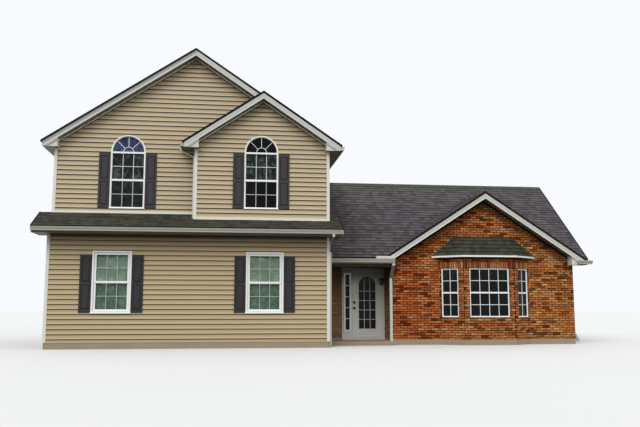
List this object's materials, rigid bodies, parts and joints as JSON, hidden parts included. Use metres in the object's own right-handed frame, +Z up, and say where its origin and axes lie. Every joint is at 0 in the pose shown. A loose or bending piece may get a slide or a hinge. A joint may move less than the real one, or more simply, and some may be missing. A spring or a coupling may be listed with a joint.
{
  "type": "detached house",
  "caption": "Detached suburban house with a two-storey gabled wing, a recessed entry and a one-storey brick wing with a canted bay window.",
  "frame": {"origin": "on the ground under the middle of the plan, between the outer side walls and between the front of the two-storey wing and the rear wall", "axes": "+X to the right seen from the street, +Y from the street side to the rear, +Z up"},
  "size_m": [15.535, 7.99, 8.105],
  "materials": {
    "siding": "matte lap siding",
    "brick": "matte fired brick",
    "entry_brick": "matte fired brick",
    "roof_shingles": "rough mineral shingles",
    "pent_shingles": "rough mineral shingles",
    "bay_shingles": "rough mineral shingles",
    "glass": "clear",
    "white_trim": "satin",
    "gutter_metal": "satin",
    "shutter": "matte",
    "concrete": "rough",
    "timber": "matte",
    "porch_paint": "matte",
    "door_paint": "satin",
    "door_metal": "satin",
    "lantern_metal": "satin"
  },
  "bodies": {
    "house": {"ground_floor": "concrete", "porch_slab": "concrete", "lower_front_wall": "siding", "lower_left_wall": "siding", "lower_rear_wall": "siding", "porch_left_wall": "siding", "upper_floor": "timber", "upper_front_wall": "siding", "upper_gable_wall": "siding", "bay_front_wall": "siding", "upper_left_wall": "siding", "upper_right_wall": "siding", "upper_rear_wall": "siding", "main_roof_left": "roof_shingles", "main_roof_right": "roof_shingles", "bay_gable_roof": "roof_shingles", "pent_roof": "pent_shingles", "pent_boards": "white_trim", "left_wing_trim": "white_trim", "corner_boards": "white_trim", "gutters": "gutter_metal", "downspouts": "gutter_metal", "lower_windows": "white_trim", "upper_windows": "white_trim", "window_glass": "glass", "shutters": "shutter", "brick_piers": "brick", "brick_gable_wall": "brick", "bay_window_walls": "brick", "bay_window_frames": "white_trim", "bay_window_glass": "glass", "bay_window_boards": "white_trim", "bay_window_roof": "bay_shingles", "right_side_wall": "siding", "right_rear_wall": "siding", "right_roof_front": "roof_shingles", "right_roof_rear": "roof_shingles", "brick_gable_roof": "roof_shingles", "right_wing_trim": "white_trim", "entry_back_wall": "entry_brick", "entry_header_wall": "entry_brick", "porch_right_wall": "brick", "porch_beam": "porch_paint", "door_frame": "white_trim", "sidelight_glass": "glass", "hinge_pins": "door_metal", "wall_lantern": "lantern_metal"},
    "door": {"front_door": "door_paint", "door_glass": "glass", "door_hardware": "door_metal"}
  },
  "joints": [
    {"name": "front_door_hinge", "type": "hinge", "parent": "house", "child": "door", "pos_m": [1.8445, -1.123, 1.2], "axis": [0, 0, -1], "range_deg": [0, 90]}
  ]
}
